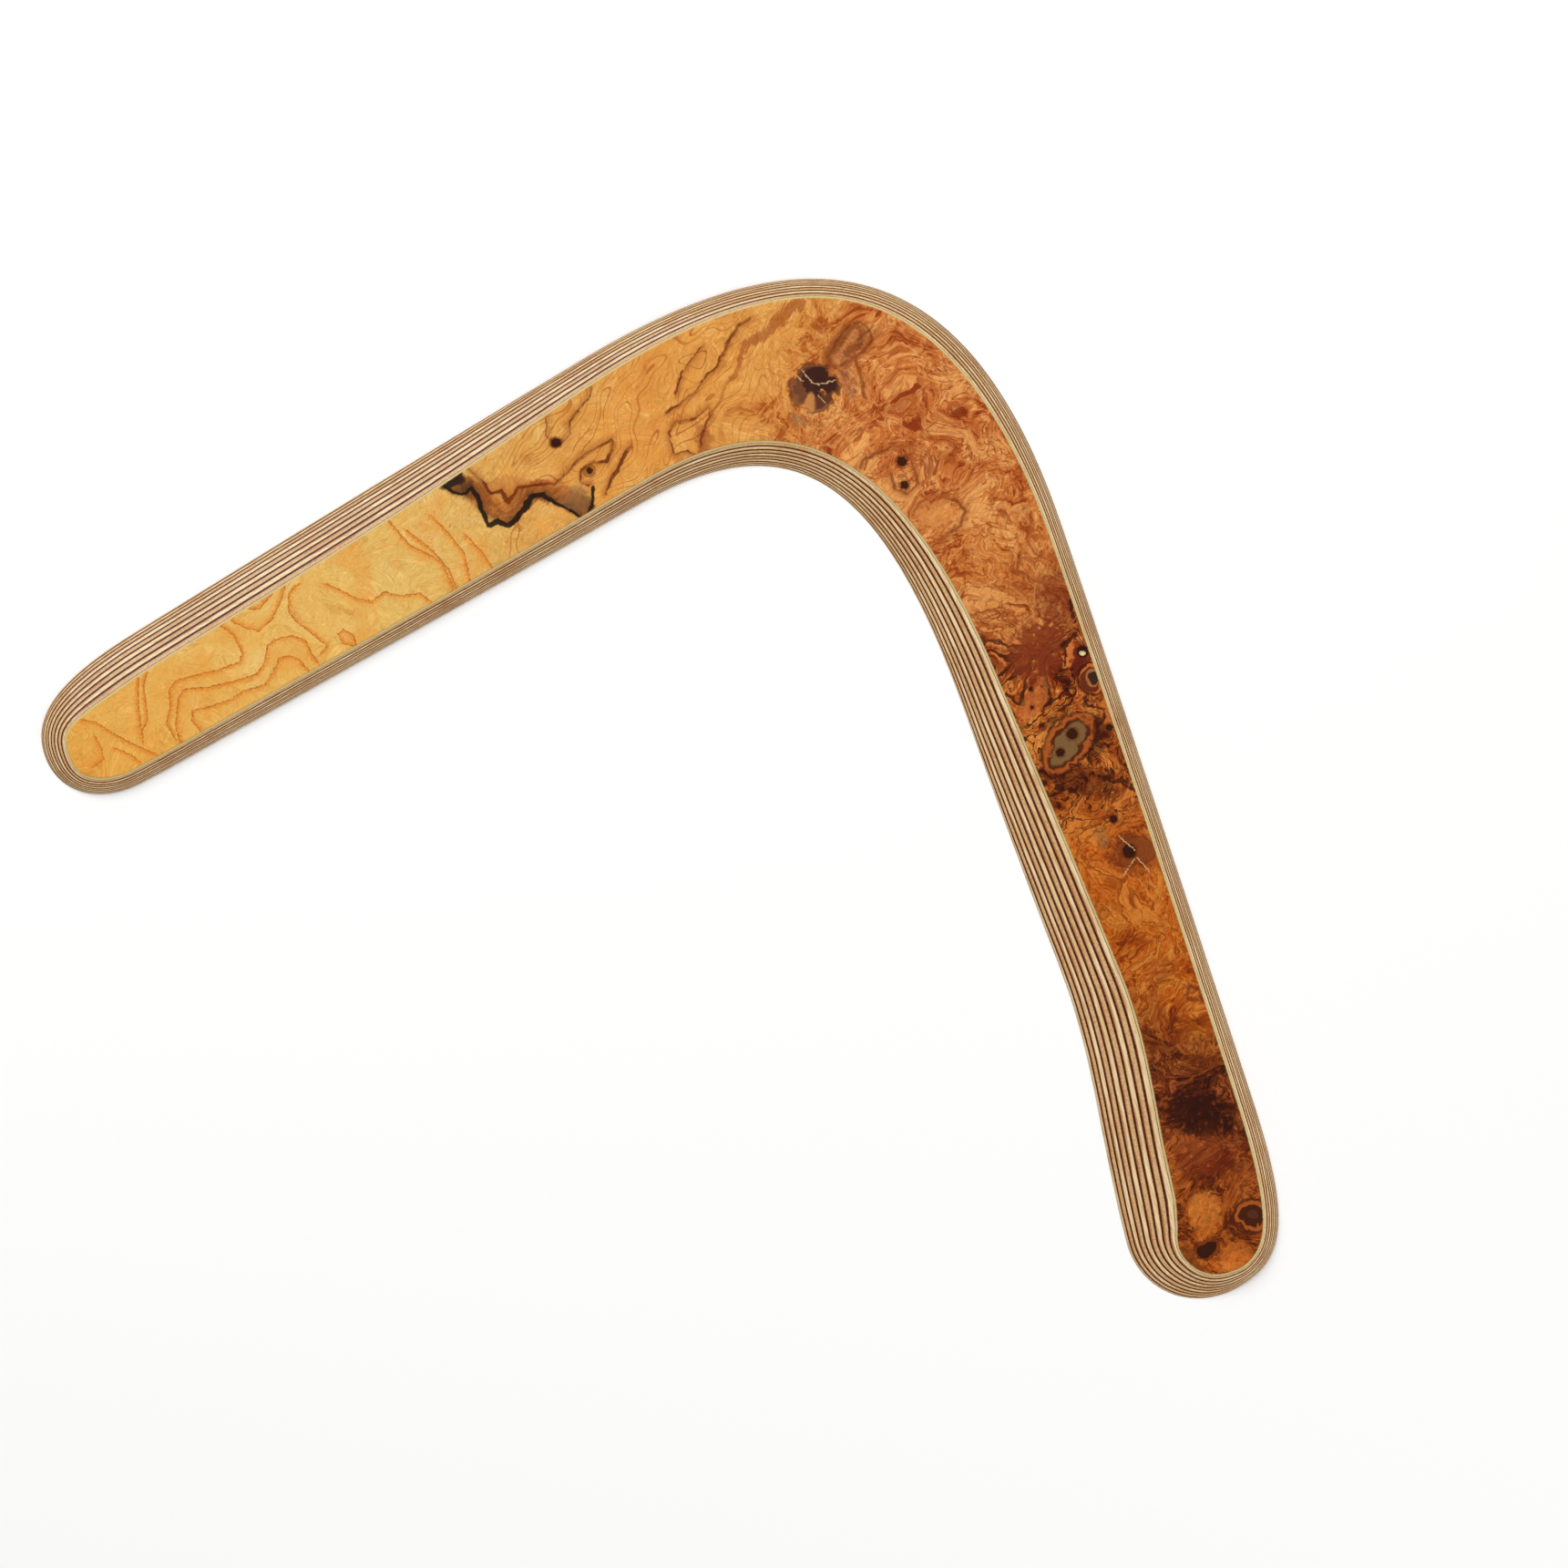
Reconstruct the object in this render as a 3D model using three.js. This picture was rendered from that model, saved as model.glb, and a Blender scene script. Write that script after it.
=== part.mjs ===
// A right-handed returning boomerang, sawn from birch plywood and faced with burl veneer.
// Millimetres, +Z up. It lies on its flat underside, with the elbow towards +Y, the free wing
// towards -X and the grip wing towards +X. The origin is under the middle of its outline.
//
// Every layer is a flat sheet between two levels. The rounded edge is sanded through all of
// them, so each layer's rim follows the same bevel: wide on the two trailing edges (outside
// the free wing, inside the grip wing) and narrow on the two leading edges.
import * as THREE from 'three';

// ---- driving dimensions ----
const WINGS_ANGLE = 77;            // degrees between the outer edges of the wings
const GRIP_HEADING = -71.6;        // degrees, the way the grip wing's outer edge runs
const FREE_LENGTH = 401;           // outer elbow corner to the free wing's toe corner
const GRIP_LENGTH = 435;           // outer elbow corner to the grip wing's toe corner
const ROOT_CHORD = 61;             // both wings, at the inner elbow corner
const FREE_TIP_CHORD = 48.4;       // free wing, at the heel corner of its tip
const FREE_TIP_RAKE = 11;          // how much further out the heel corner is than the toe
const GRIP_WAIST_CHORD = 52.5;     // grip wing's narrowest place, just above the hand
const GRIP_WAIST_BACK = 104.5;      // from the grip wing's toe back to that waist
const GRIP_TIP_CHORD = 67;         // grip wing, at the heel corner of its tip
const GRIP_TIP_RAKE = 24;
const EDGE_BELLY = 0.35;           // how far the long, hand-shaped edges bow out at their middle

const PLY_COUNT = 9;
const PLY = 0.55;                  // one birch ply
const GLUE = 0.12;                 // one phenolic glue film
const VENEER = 0.6;

const LEADING_BEVEL = 5.1;         // how far in the sanded edge reaches at the top ply
const FREE_TRAILING_BEVEL = 14.2;
const GRIP_TRAILING_BEVEL = 20.8;
const FREE_TIP_BEVEL = 8.7;
const OUTER_ELBOW_BEVEL = 6.8;
const INNER_ELBOW_BEVEL = 8.8;
const VENEER_BEVEL = 1;            // how much further in the sanded edge goes on the veneer
const LEADING_ROUND = 1.7;         // 1 is a straight chamfer, 2 a blunt, rounded edge
const TRAILING_ROUND = 1.5;
const GRIP_ROUND = 1.27;

const PIN_HOLE = 2.8;              // diameter of the lost pin knot in the veneer
const PIN_HOLE_ALONG = 199;        // from the outer elbow corner down the grip wing
const PIN_HOLE_RIM = 0.4;          // veneer left between the hole and the bevel

// ---- levels: the height of every glue face, from the underside up ----
const CORE = PLY_COUNT * PLY + (PLY_COUNT - 1) * GLUE;
const THICKNESS = CORE + GLUE + VENEER;

// ---- plan: a polygon of named corners, each rounded off along its two edges ----
const heading = (degrees) => new THREE.Vector2(
  Math.cos(THREE.MathUtils.degToRad(degrees)),
  Math.sin(THREE.MathUtils.degToRad(degrees)),
);

// A wing's own axes: along its outer edge, and across it towards the inside of the bend.
const freeWing = {
  along: heading(GRIP_HEADING - WINGS_ANGLE),
  across: heading(GRIP_HEADING - WINGS_ANGLE + 90),
};
const gripWing = { along: heading(GRIP_HEADING), across: heading(GRIP_HEADING - 90) };

function onWing(wing, along, across) {
  return new THREE.Vector2()
    .addScaledVector(wing.along, along)
    .addScaledVector(wing.across, across);
}

// The inner elbow is as far from both outer edges.
const halfAngle = THREE.MathUtils.degToRad(WINGS_ANGLE / 2);
const innerElbow = onWing(gripWing, ROOT_CHORD / Math.tan(halfAngle), ROOT_CHORD);
const gripWaistAlong = GRIP_LENGTH - GRIP_WAIST_BACK;

// before, after: length of edge that the rounding takes on each side of the corner, in order
// counter-clockwise. fullness: 0.55 is near a circle, more is squarer.
const corners = [
  { name: 'freeHeel', at: onWing(freeWing, FREE_LENGTH + FREE_TIP_RAKE, FREE_TIP_CHORD),
    before: 27.4, after: 33.3, fullness: 0.57 },
  { name: 'innerElbow', at: innerElbow, before: 87, after: 123, fullness: 0.72 },
  { name: 'gripWaist', at: onWing(gripWing, gripWaistAlong, GRIP_WAIST_CHORD),
    before: 15, after: 20, fullness: 0.57 },
  { name: 'gripHeel', at: onWing(gripWing, GRIP_LENGTH + GRIP_TIP_RAKE, GRIP_TIP_CHORD),
    before: 46, after: 48, fullness: 0.49 },
  { name: 'gripToe', at: onWing(gripWing, GRIP_LENGTH, 0),
    before: 22.5, after: 59, fullness: 0.75 },
  { name: 'outerElbow', at: new THREE.Vector2(0, 0),
    before: 153, after: 157, fullness: 0.69 },
  { name: 'freeToe', at: onWing(freeWing, FREE_LENGTH, 0),
    before: 48.5, after: 22, fullness: 0.7 },
];

// ---- bevel: its width and roundness at stations round the rim ----
// part: 0 to 0.5 goes round the corner, 0.5 to 1 along the edge after it.
const stations = [
  { corner: 'freeHeel', part: 0, width: FREE_TIP_BEVEL, round: TRAILING_ROUND },
  { corner: 'freeHeel', part: 0.25, width: LEADING_BEVEL * 1.08, round: LEADING_ROUND },
  { corner: 'freeHeel', part: 0.75, width: LEADING_BEVEL, round: LEADING_ROUND },
  { corner: 'innerElbow', part: 0, width: LEADING_BEVEL * 1.2, round: LEADING_ROUND },
  { corner: 'innerElbow', part: 0.15, width: INNER_ELBOW_BEVEL, round: TRAILING_ROUND },
  { corner: 'innerElbow', part: 0.44, width: GRIP_TRAILING_BEVEL * 0.69, round: TRAILING_ROUND },
  { corner: 'innerElbow', part: 0.85, width: GRIP_TRAILING_BEVEL * 0.91, round: GRIP_ROUND },
  { corner: 'gripWaist', part: 0.25, width: GRIP_TRAILING_BEVEL, round: GRIP_ROUND },
  { corner: 'gripWaist', part: 0.8, width: GRIP_TRAILING_BEVEL * 0.99, round: GRIP_ROUND },
  { corner: 'gripHeel', part: 0, width: GRIP_TRAILING_BEVEL * 0.92, round: GRIP_ROUND },
  { corner: 'gripHeel', part: 0.22, width: GRIP_TRAILING_BEVEL * 0.67, round: GRIP_ROUND },
  { corner: 'gripHeel', part: 0.39, width: LEADING_BEVEL * 1.5, round: TRAILING_ROUND },
  { corner: 'gripHeel', part: 0.5, width: LEADING_BEVEL * 1.1, round: LEADING_ROUND },
  { corner: 'gripToe', part: 0.06, width: LEADING_BEVEL, round: LEADING_ROUND },
  { corner: 'gripToe', part: 0.28, width: LEADING_BEVEL * 1.1, round: LEADING_ROUND },
  { corner: 'gripToe', part: 0.8, width: LEADING_BEVEL * 0.96, round: LEADING_ROUND },
  { corner: 'outerElbow', part: 0, width: LEADING_BEVEL, round: LEADING_ROUND },
  { corner: 'outerElbow', part: 0.14, width: OUTER_ELBOW_BEVEL, round: LEADING_ROUND },
  { corner: 'outerElbow', part: 0.31, width: OUTER_ELBOW_BEVEL, round: LEADING_ROUND },
  { corner: 'outerElbow', part: 0.5, width: FREE_TRAILING_BEVEL * 0.67, round: LEADING_ROUND },
  { corner: 'outerElbow', part: 0.72, width: FREE_TRAILING_BEVEL * 0.94, round: TRAILING_ROUND },
  { corner: 'freeToe', part: 0, width: FREE_TRAILING_BEVEL, round: TRAILING_ROUND },
  { corner: 'freeToe', part: 0.22, width: FREE_TRAILING_BEVEL * 0.96, round: TRAILING_ROUND },
  { corner: 'freeToe', part: 0.49, width: FREE_TIP_BEVEL * 1.03, round: TRAILING_ROUND },
];
const cornerIndex = (name) => corners.findIndex((corner) => corner.name === name);
for (const station of stations) {
  station.place = cornerIndex(station.corner) + station.part;
}

// The station before place i, i itself and so on, carried on round the closed rim.
function stationAt(i) {
  const lap = Math.floor(i / stations.length);
  const station = stations[i - lap * stations.length];
  return { ...station, place: station.place + lap * corners.length };
}

// A smooth curve through the stations' values: its slope at each is that of its neighbours.
function bevelAt(place, key) {
  const i = stations.filter((station) => station.place <= place).length - 1;
  const [a, b, c, d] = [i - 1, i, i + 1, i + 2].map(stationAt);
  const span = c.place - b.place;
  const t = (place - b.place) / span;
  const slopeB = ((c[key] - a[key]) / (c.place - a.place)) * span;
  const slopeC = ((d[key] - b[key]) / (d.place - b.place)) * span;
  return (2 * t ** 3 - 3 * t ** 2 + 1) * b[key] + (t ** 3 - 2 * t ** 2 + t) * slopeB
    + (3 * t ** 2 - 2 * t ** 3) * c[key] + (t ** 3 - t ** 2) * slopeC;
}

// ---- rim: points round the underside's outline, with their inward normal and bevel ----
const TIP_STEP = 4.5;              // spacing of the points on the tips
const ELBOW_STEP = 6.5;            // on the two elbows and the waist
const EDGE_STEP = 32;              // on the straight edges

// A rounding takes no more of an edge than there is between its two corners.
function roomOn(i) {
  const from = corners[i];
  const to = corners[(i + 1) % corners.length];
  return Math.min(1, from.at.distanceTo(to.at) / (from.after + to.before));
}

function rimPoint(at, travel, place) {
  const inward = new THREE.Vector2(-travel.y, travel.x).normalize();
  return { at, inward, width: bevelAt(place, 'width'), round: bevelAt(place, 'round') };
}

const rim = [];
corners.forEach((corner, i) => {
  const last = (i + corners.length - 1) % corners.length;
  const next = corners[(i + 1) % corners.length];
  const back = corners[last].at.clone().sub(corner.at).normalize();
  const onward = next.at.clone().sub(corner.at).normalize();
  const start = corner.at.clone().addScaledVector(back, corner.before * roomOn(last));
  const end = corner.at.clone().addScaledVector(onward, corner.after * roomOn(i));
  const rounding = new THREE.CubicBezierCurve(
    start,
    start.clone().lerp(corner.at, corner.fullness),
    end.clone().lerp(corner.at, corner.fullness),
    end,
  );
  const isTip = corner.name.endsWith('Toe') || corner.name.endsWith('Heel');
  const steps = Math.ceil(rounding.getLength() / (isTip ? TIP_STEP : ELBOW_STEP));
  for (let k = 0; k < steps; k += 1) {
    const travel = rounding.getTangentAt(k / steps);
    rim.push(rimPoint(rounding.getPointAt(k / steps), travel, i + (0.5 * k) / steps));
  }

  // the long edge after the corner, if the two roundings leave any
  const nextStart = next.at.clone().addScaledVector(onward, -next.before * roomOn(i));
  const edge = end.distanceTo(nextStart);
  const edgeSteps = edge > 1 ? Math.ceil(edge / EDGE_STEP) : 0;
  const outward = new THREE.Vector2(onward.y, -onward.x);
  for (let k = 0; k < edgeSteps; k += 1) {
    const t = k / edgeSteps;
    const bow = EDGE_BELLY * 4 * t * (1 - t);
    const at = end.clone().lerp(nextStart, t).addScaledVector(outward, bow);
    rim.push(rimPoint(at, onward, i + 0.5 + 0.5 * t));
  }
});

// The origin is under the middle of the outline.
const extent = new THREE.Box2().setFromPoints(rim.map((point) => point.at));
const middle = extent.getCenter(new THREE.Vector2());

// How far in from the outline a bevel has come at height z. It curves through the plies
// and goes on straight through the veneer.
function bevelReach(width, round, z) {
  const throughPlies = width * Math.min(1, z / CORE) ** round;
  const throughVeneer = VENEER_BEVEL * Math.max(0, z - CORE) / (THICKNESS - CORE);
  return throughPlies + throughVeneer;
}

function contour(z) {
  return rim.map(({ at, inward, width, round }) => at.clone()
    .addScaledVector(inward, bevelReach(width, round, z))
    .sub(middle));
}

// ---- layers ----
function pinHole() {
  const radius = PIN_HOLE / 2;
  const edge = bevelReach(LEADING_BEVEL, LEADING_ROUND, THICKNESS);
  const centre = onWing(gripWing, PIN_HOLE_ALONG, edge + PIN_HOLE_RIM + radius).sub(middle);
  const circle = new THREE.Path().absarc(centre.x, centre.y, radius, 0, 2 * Math.PI, true);
  return circle.getPoints(24).slice(0, 24);
}

// A flat sheet between two heights. Its rim slopes with the bevel and its holes go straight through.
function layer(low, high, holes = []) {
  const levels = [low, high].map((z) => ({ z, rings: [contour(z), ...holes] }));
  const positions = levels.flatMap(({ z, rings }) => rings.flat().flatMap((p) => [p.x, p.y, z]));
  const perLevel = positions.length / 6;
  const triangles = [];

  levels.forEach(({ rings }, level) => {
    const offset = level * perLevel;
    for (const face of THREE.ShapeUtils.triangulateShape(rings[0], rings.slice(1))) {
      const facing = level === 0 ? [face[0], face[2], face[1]] : face;
      triangles.push(...facing.map((index) => index + offset));
    }
  });

  let first = 0;
  for (const ring of levels[0].rings) {
    ring.forEach((_, k) => {
      const a = first + k;
      const b = first + ((k + 1) % ring.length);
      triangles.push(a, b, b + perLevel, a, b + perLevel, a + perLevel);
    });
    first += ring.length;
  }

  const geometry = new THREE.BufferGeometry();
  geometry.setAttribute('position', new THREE.Float32BufferAttribute(positions, 3));
  geometry.setIndex(triangles);
  geometry.computeVertexNormals();
  return geometry;
}

const material = (color, roughness) => new THREE.MeshStandardMaterial({
  color, roughness, metalness: 0,
});

const boomerang = new THREE.Group();
function addLayer(name, geometry, finish) {
  const mesh = new THREE.Mesh(geometry, finish);
  mesh.name = name;
  boomerang.add(mesh);
}

// The plies' grain turns a quarter from one to the next: odd ones run along the length.
for (let n = 1; n <= PLY_COUNT; n += 1) {
  const low = (n - 1) * (PLY + GLUE);
  const birch = n % 2 === 1 ? material(0xe6d3ae, 0.4) : material(0xd0b286, 0.45);
  addLayer(`birch_ply_${n}`, layer(low, low + PLY), birch);
  if (n < PLY_COUNT) {
    addLayer(`glue_film_${n}`, layer(low + PLY, n * (PLY + GLUE)), material(0x4a2b16, 0.5));
  }
}

const hole = pinHole();
addLayer('veneer_glue', layer(CORE, CORE + GLUE, [hole]), material(0xb98a4a, 0.5));
addLayer('burl_veneer', layer(CORE + GLUE, THICKNESS, [hole]), material(0xb5662a, 0.3));

export default boomerang;
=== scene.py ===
# A returning boomerang of nine birch plies under one burl veneer, with its edge sanded to a
# bevel through every layer and lacquered. It lies face up on a pale studio floor.
import math

import bmesh
import bpy
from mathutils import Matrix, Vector
from mathutils.geometry import interpolate_bezier


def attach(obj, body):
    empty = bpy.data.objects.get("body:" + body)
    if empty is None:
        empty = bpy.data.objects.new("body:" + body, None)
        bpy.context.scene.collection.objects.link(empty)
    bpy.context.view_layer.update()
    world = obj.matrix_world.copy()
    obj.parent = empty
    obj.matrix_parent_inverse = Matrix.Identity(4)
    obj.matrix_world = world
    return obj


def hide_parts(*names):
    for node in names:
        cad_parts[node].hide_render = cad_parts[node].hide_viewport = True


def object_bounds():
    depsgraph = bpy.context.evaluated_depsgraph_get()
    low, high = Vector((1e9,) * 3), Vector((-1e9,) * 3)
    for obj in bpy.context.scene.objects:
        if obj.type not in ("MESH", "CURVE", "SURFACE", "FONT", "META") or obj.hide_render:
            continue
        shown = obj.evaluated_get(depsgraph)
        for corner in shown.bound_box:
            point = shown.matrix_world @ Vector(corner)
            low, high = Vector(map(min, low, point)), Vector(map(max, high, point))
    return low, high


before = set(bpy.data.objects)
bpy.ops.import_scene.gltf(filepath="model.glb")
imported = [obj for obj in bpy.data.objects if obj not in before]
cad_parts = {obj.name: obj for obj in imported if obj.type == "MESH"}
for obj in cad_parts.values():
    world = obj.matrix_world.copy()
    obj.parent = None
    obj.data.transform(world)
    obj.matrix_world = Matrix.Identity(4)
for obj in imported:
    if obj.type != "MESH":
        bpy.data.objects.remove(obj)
cad_box = [list(corner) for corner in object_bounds()]

# ---------------------------------------------------------------------------------------------
# The studio. The camera looks straight down on the burl face from a long way off. A large soft
# lamp stands over the outside of the free wing, and a weaker one beside the grip wing.
SENSOR = 0.036
LENS = 0.25
VIEW_WIDTH = 0.5894
VIEW_OFFSET = Vector((0.0467, 0.0017, 0))
FLOOR_REACH = 9
FLOOR_ROUGHNESS = 0.9
FLOOR_GLOSS = 0.1
WORLD_LIGHT = 0.3
FAR_CLIP = 50
LAMPS = (
    # name, heading and height in degrees, distance, side, watts
    ("softbox_over_free_wing", 121, 47, 2.4, 1.6, 45),
    ("fill_beside_grip_wing", -35, 38, 2.6, 1.8, 30),
)

low_corner, high_corner = (Vector(corner) for corner in cad_box)
middle = (low_corner + high_corner) / 2
face_centre = Vector((middle.x, middle.y, high_corner.z)) + VIEW_OFFSET

camera = bpy.data.objects.new("camera", bpy.data.cameras.new("camera"))
camera.data.sensor_width = SENSOR * 1000
camera.data.lens = LENS * 1000
camera.data.clip_end = FAR_CLIP
camera.location = face_centre + Vector((0, 0, VIEW_WIDTH * LENS / SENSOR))
bpy.context.scene.collection.objects.link(camera)
bpy.context.scene.camera = camera
bpy.context.scene.view_settings.view_transform = "Standard"

room = bpy.data.worlds.new("pale_room")
room.use_nodes = True
room.node_tree.nodes["Background"].inputs["Color"].default_value = (1, 1, 1, 1)
room.node_tree.nodes["Background"].inputs["Strength"].default_value = WORLD_LIGHT
bpy.context.scene.world = room

for name, heading, height, distance, side, watts in LAMPS:
    lamp = bpy.data.objects.new(name, bpy.data.lights.new(name, "AREA"))
    lamp.data.size = side
    lamp.data.energy = watts
    turn, lift = math.radians(heading), math.radians(height)
    towards = Vector((
        math.cos(turn) * math.cos(lift), math.sin(turn) * math.cos(lift), math.sin(lift),
    ))
    lamp.location = middle + towards * distance
    lamp.rotation_euler = towards.to_track_quat("Z", "Y").to_euler()
    bpy.context.scene.collection.objects.link(lamp)


def tone(red, green, blue):
    """A colour on the 0 to 255 scale, as the light it gives back."""
    parts = (value / 255 for value in (red, green, blue))
    return (*((p / 12.92 if p < 0.04045 else ((p + 0.055) / 1.055) ** 2.4) for p in parts), 1)


floor_sheet = bmesh.new()
bmesh.ops.create_grid(floor_sheet, x_segments=1, y_segments=1, size=FLOOR_REACH)
floor_mesh = bpy.data.meshes.new("studio_floor")
floor_sheet.to_mesh(floor_mesh)
floor_sheet.free()
floor = bpy.data.objects.new("studio_floor", floor_mesh)
bpy.context.scene.collection.objects.link(floor)
floor_paint = bpy.data.materials.new("pale_matt_paint")
floor_paint.use_nodes = True
floor_coat = floor_paint.node_tree.nodes["Principled BSDF"]
floor_coat.inputs["Base Color"].default_value = tone(252, 252, 251)
floor_coat.inputs["Roughness"].default_value = FLOOR_ROUGHNESS
floor_coat.inputs["Specular IOR Level"].default_value = FLOOR_GLOSS
floor_mesh.materials.append(floor_paint)

# ---------------------------------------------------------------------------------------------
# The nine plies. Each is a 0.55 mm birch veneer, laid with its grain across that of the next,
# pressed with phenolic film and then sawn and sanded, so its edge is a sloping band.
PLY_COUNT = 9
MERGE_WITHIN = 2e-6
CAP_NORMAL = 0.99999
RIM_STEPS = 3
SOLE_EASE = 0.0002
LONG_GRAIN = -72                # degrees: the odd plies run along the grip wing
CREAM = tone(208, 166, 106)
CREAM_PALE = tone(238, 214, 172)
CREAM_TAN = tone(180, 128, 72)
END_TAN = tone(198, 150, 92)
END_BROWN = tone(158, 100, 50)
GLUE_STAIN = tone(92, 38, 14)
BLEED_TAN = tone(160, 92, 42)
KNIFE_CHECK = tone(120, 78, 40)
RESIN_STAIN = tone(206, 140, 64)
PIN_HOLE = (159, 51.5)          # millimetres: a lost pin knot of the burl bares the top ply
SPOT_LEVEL = 5.9                # millimetres: the face of the top ply
SPOT_CLEAR, SPOT_REACH = 1.1, 1.9
SPOT_PALE_PAINTED_LIGHT = tone(240, 234, 170)
LACQUER_GLOSS = 0.06
LACQUER_COAT = 0.3
LACQUER_ROUGHNESS = 0.16
END_GRAIN_SHARE = 0.6


class Bench:
    """Sets out the nodes of one material or one node group."""

    def __init__(self, tree):
        self.tree = tree

    def feed(self, socket, value):
        if isinstance(value, bpy.types.NodeSocket):
            self.tree.links.new(value, socket)
        else:
            socket.default_value = value

    def add(self, kind, inputs=None, **settings):
        node = self.tree.nodes.new(kind)
        for setting, value in settings.items():
            setattr(node, setting, value)
        for socket, value in (inputs or {}).items():
            self.feed(node.inputs[socket], value)
        return node

    def math(self, operation, *values):
        node = self.add("ShaderNodeMath", operation=operation)
        for socket, value in zip(node.inputs, values):
            self.feed(socket, value)
        return node.outputs[0]

    def clamped(self, value):
        return self.math("MINIMUM", self.math("MAXIMUM", value, 0), 1)

    def vector(self, operation, *values, output="Vector"):
        node = self.add("ShaderNodeVectorMath", operation=operation)
        for socket, value in zip(node.inputs, values):
            self.feed(socket, value)
        return node.outputs[output]

    def scaled(self, vector, scale):
        node = self.add("ShaderNodeVectorMath", operation="SCALE")
        self.feed(node.inputs[0], vector)
        self.feed(node.inputs["Scale"], scale)
        return node.outputs[0]

    def noise(self, place, scale, detail=2, roughness=0.5, output="Fac"):
        node = self.add(
            "ShaderNodeTexNoise",
            {"Vector": place, "Scale": scale, "Detail": detail, "Roughness": roughness},
        )
        return node.outputs[output]

    def lines(self, along, detail=2, roughness=0.5):
        """Noise of one number, so every contour of that number is one line."""
        node = self.add(
            "ShaderNodeTexNoise",
            {"W": along, "Scale": 1, "Detail": detail, "Roughness": roughness},
            noise_dimensions="1D",
        )
        return node.outputs["Fac"]

    def drift(self, place, scale, reach, detail=2):
        """The place, pushed about by up to half of reach."""
        push = self.noise(place, scale, detail, output="Color")
        push = self.vector("SUBTRACT", push, (0.5, 0.5, 0.5))
        return self.vector("ADD", place, self.scaled(push, reach))

    def between(self, value, start, end, low=0.0, high=1.0):
        node = self.add(
            "ShaderNodeMapRange",
            {"Value": value, "From Min": start, "From Max": end, "To Min": low, "To Max": high},
            interpolation_type="SMOOTHSTEP",
        )
        return node.outputs["Result"]

    def blend(self, share, first, second, mode="MIX"):
        node = self.add("ShaderNodeMix", data_type="RGBA", blend_type=mode)
        self.feed(node.inputs[0], share)
        self.feed(node.inputs[6], first)
        self.feed(node.inputs[7], second)
        return node.outputs[2]

    def ramp(self, value, stops):
        node = self.add("ShaderNodeValToRGB", {"Fac": value})
        band = node.color_ramp.elements
        while len(band) < len(stops):
            band.new(1)
        for element, (position, colour) in zip(band, stops):
            element.position = position
            element.color = colour
        return node.outputs["Color"]

    def turned(self, place, degrees, stretch=(1, 1, 1)):
        """The place on a pattern that is turned, then squeezed along its own axes."""
        turn = self.add(
            "ShaderNodeMapping", {"Vector": place, "Rotation": (0, 0, -math.radians(degrees))},
        )
        return self.vector("MULTIPLY", turn.outputs[0], stretch)

    def bump(self, height, strength, distance):
        node = self.add(
            "ShaderNodeBump", {"Height": height, "Strength": strength, "Distance": distance},
        )
        return node.outputs["Normal"]

    def millimetres(self):
        place = self.add("ShaderNodeTexCoord").outputs["Object"]
        return self.scaled(place, 1000)

    def group(self, tree, inputs, output=0):
        node = self.add("ShaderNodeGroup", node_tree=tree)
        for socket, value in inputs.items():
            self.feed(node.inputs[socket], value)
        return node.outputs[output]


def new_group(name, inputs, outputs):
    """An empty node group with named sockets, its bench and its input sockets."""
    tree = bpy.data.node_groups.new(name, "ShaderNodeTree")
    for direction, sockets in (("INPUT", inputs), ("OUTPUT", outputs)):
        for socket, kind in sockets.items():
            tree.interface.new_socket(socket, in_out=direction, socket_type="NodeSocket" + kind)
    bench = Bench(tree)
    return bench, bench.add("NodeGroupInput").outputs


def finish_group(bench, results):
    bench.add("NodeGroupOutput", results)
    return bench.tree


def lacquered(name):
    """A material under the boomerang's clear coat, with its bench and its shader."""
    material = bpy.data.materials.new(name)
    material.use_nodes = True
    shader = material.node_tree.nodes["Principled BSDF"]
    shader.inputs["Specular IOR Level"].default_value = LACQUER_GLOSS
    shader.inputs["Coat Weight"].default_value = LACQUER_COAT
    shader.inputs["Coat Roughness"].default_value = LACQUER_ROUGHNESS
    return material, Bench(material.node_tree), shader


def outlines(node):
    """The rings of a flat CAD layer, each as points in order: lowest first, longest first."""
    sheet = bmesh.new()
    sheet.from_mesh(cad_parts[node].data)
    bmesh.ops.remove_doubles(sheet, verts=sheet.verts, dist=MERGE_WITHIN)
    caps = {face for face in sheet.faces if abs(face.normal.z) > CAP_NORMAL}
    rim = [e for e in sheet.edges if sum(face in caps for face in e.link_faces) == 1]
    rings = []
    while rim:
        first, here = rim.pop(0).verts
        ring = [first.co.copy()]
        while here is not first:
            ring.append(here.co.copy())
            edge = next(e for e in here.link_edges if e in rim)
            rim.remove(edge)
            here = edge.other_vert(here)
        rings.append(ring)
    sheet.free()
    return sorted(rings, key=lambda ring: (round(ring[0].z, 6), -len(ring)))


def faired(ring, steps=RIM_STEPS):
    """The ring with points added on a smooth curve through its own."""
    count = len(ring)
    spans = [(ring[(i + 1) % count] - ring[i]).length for i in range(count)]
    slopes = []
    for i in range(count):
        before = (ring[i] - ring[i - 1]) / spans[i - 1]
        after = (ring[(i + 1) % count] - ring[i]) / spans[i]
        slopes.append((before * spans[i] + after * spans[i - 1]).normalized())
    curve = []
    for i in range(count):
        start, end = ring[i], ring[(i + 1) % count]
        reach = spans[i] / 3
        lead_out = start + slopes[i] * reach
        lead_in = end - slopes[(i + 1) % count] * reach
        curve += interpolate_bezier(start, lead_out, lead_in, end, steps + 1)[:-1]
    return curve


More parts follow.
